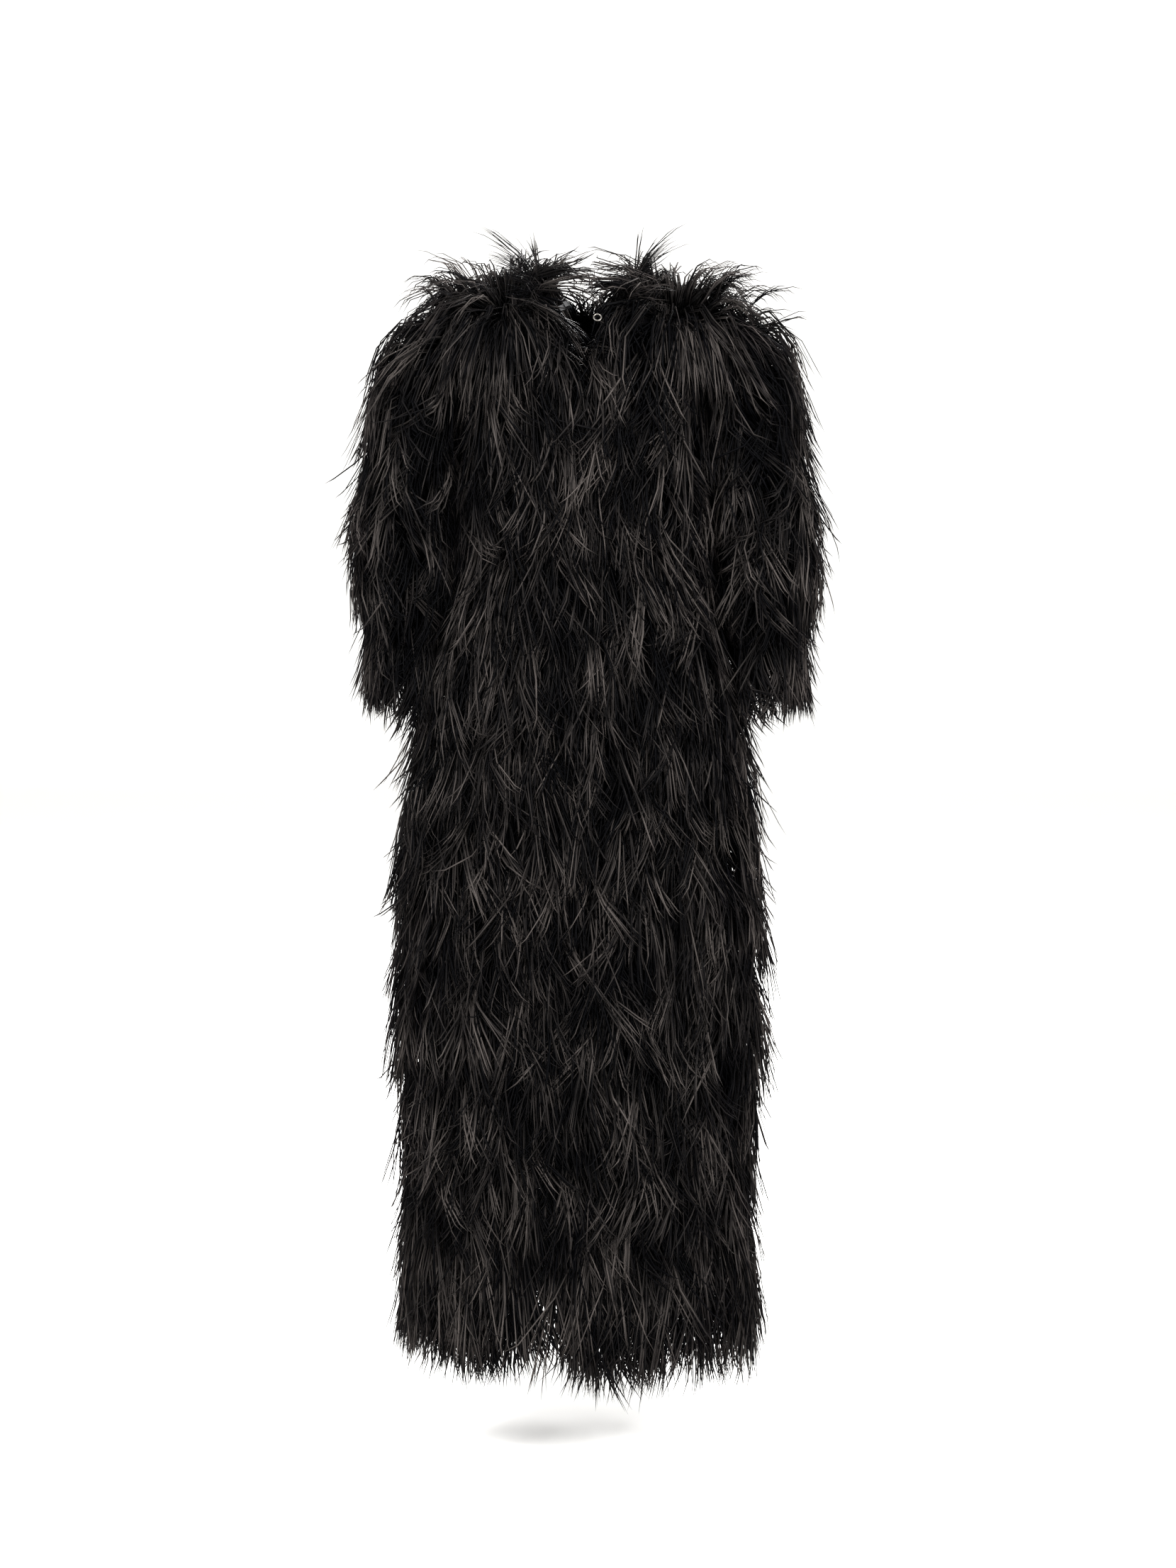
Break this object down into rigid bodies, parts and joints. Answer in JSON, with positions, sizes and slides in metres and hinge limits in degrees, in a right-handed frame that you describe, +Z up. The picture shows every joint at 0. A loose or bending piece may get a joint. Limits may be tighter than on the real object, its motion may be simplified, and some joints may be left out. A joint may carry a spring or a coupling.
{
  "type": "full-length feather coat",
  "caption": "Full-length coat of black ostrich feathers in its worn, hollow shape, with elbow-length sleeves and a V neck; cloth walls carry tiers of hanging locks",
  "frame": {"origin": "the base of the neck, level with the neck ends of the shoulder seams, where the wearer's shoulders hold the coat", "axes": "+Z up along the coat's length, -Y the front, +X the wearer's left"},
  "size_m": [0.6515, 0.3886, 1.546],
  "materials": {
    "ground_cloth": "black silk satin under the feathers",
    "feathers": "black-dyed ostrich feather, soft sheen, warm brown-grey where lit",
    "hook": "glossy black lacquer",
    "eye": "bright wire"
  },
  "bodies": {
    "root": {"front_right": "ground_cloth", "front_left": "ground_cloth", "back": "ground_cloth", "sleeve_right": "ground_cloth", "sleeve_left": "ground_cloth", "neck_band": "feathers", "hem_fringe_right": "feathers", "hem_fringe_left": "feathers", "hem_fringe_back": "feathers", "cuff_fringe_right": "feathers", "cuff_fringe_left": "feathers", "hook": "hook", "eye": "eye"}
  },
  "joints": []
}
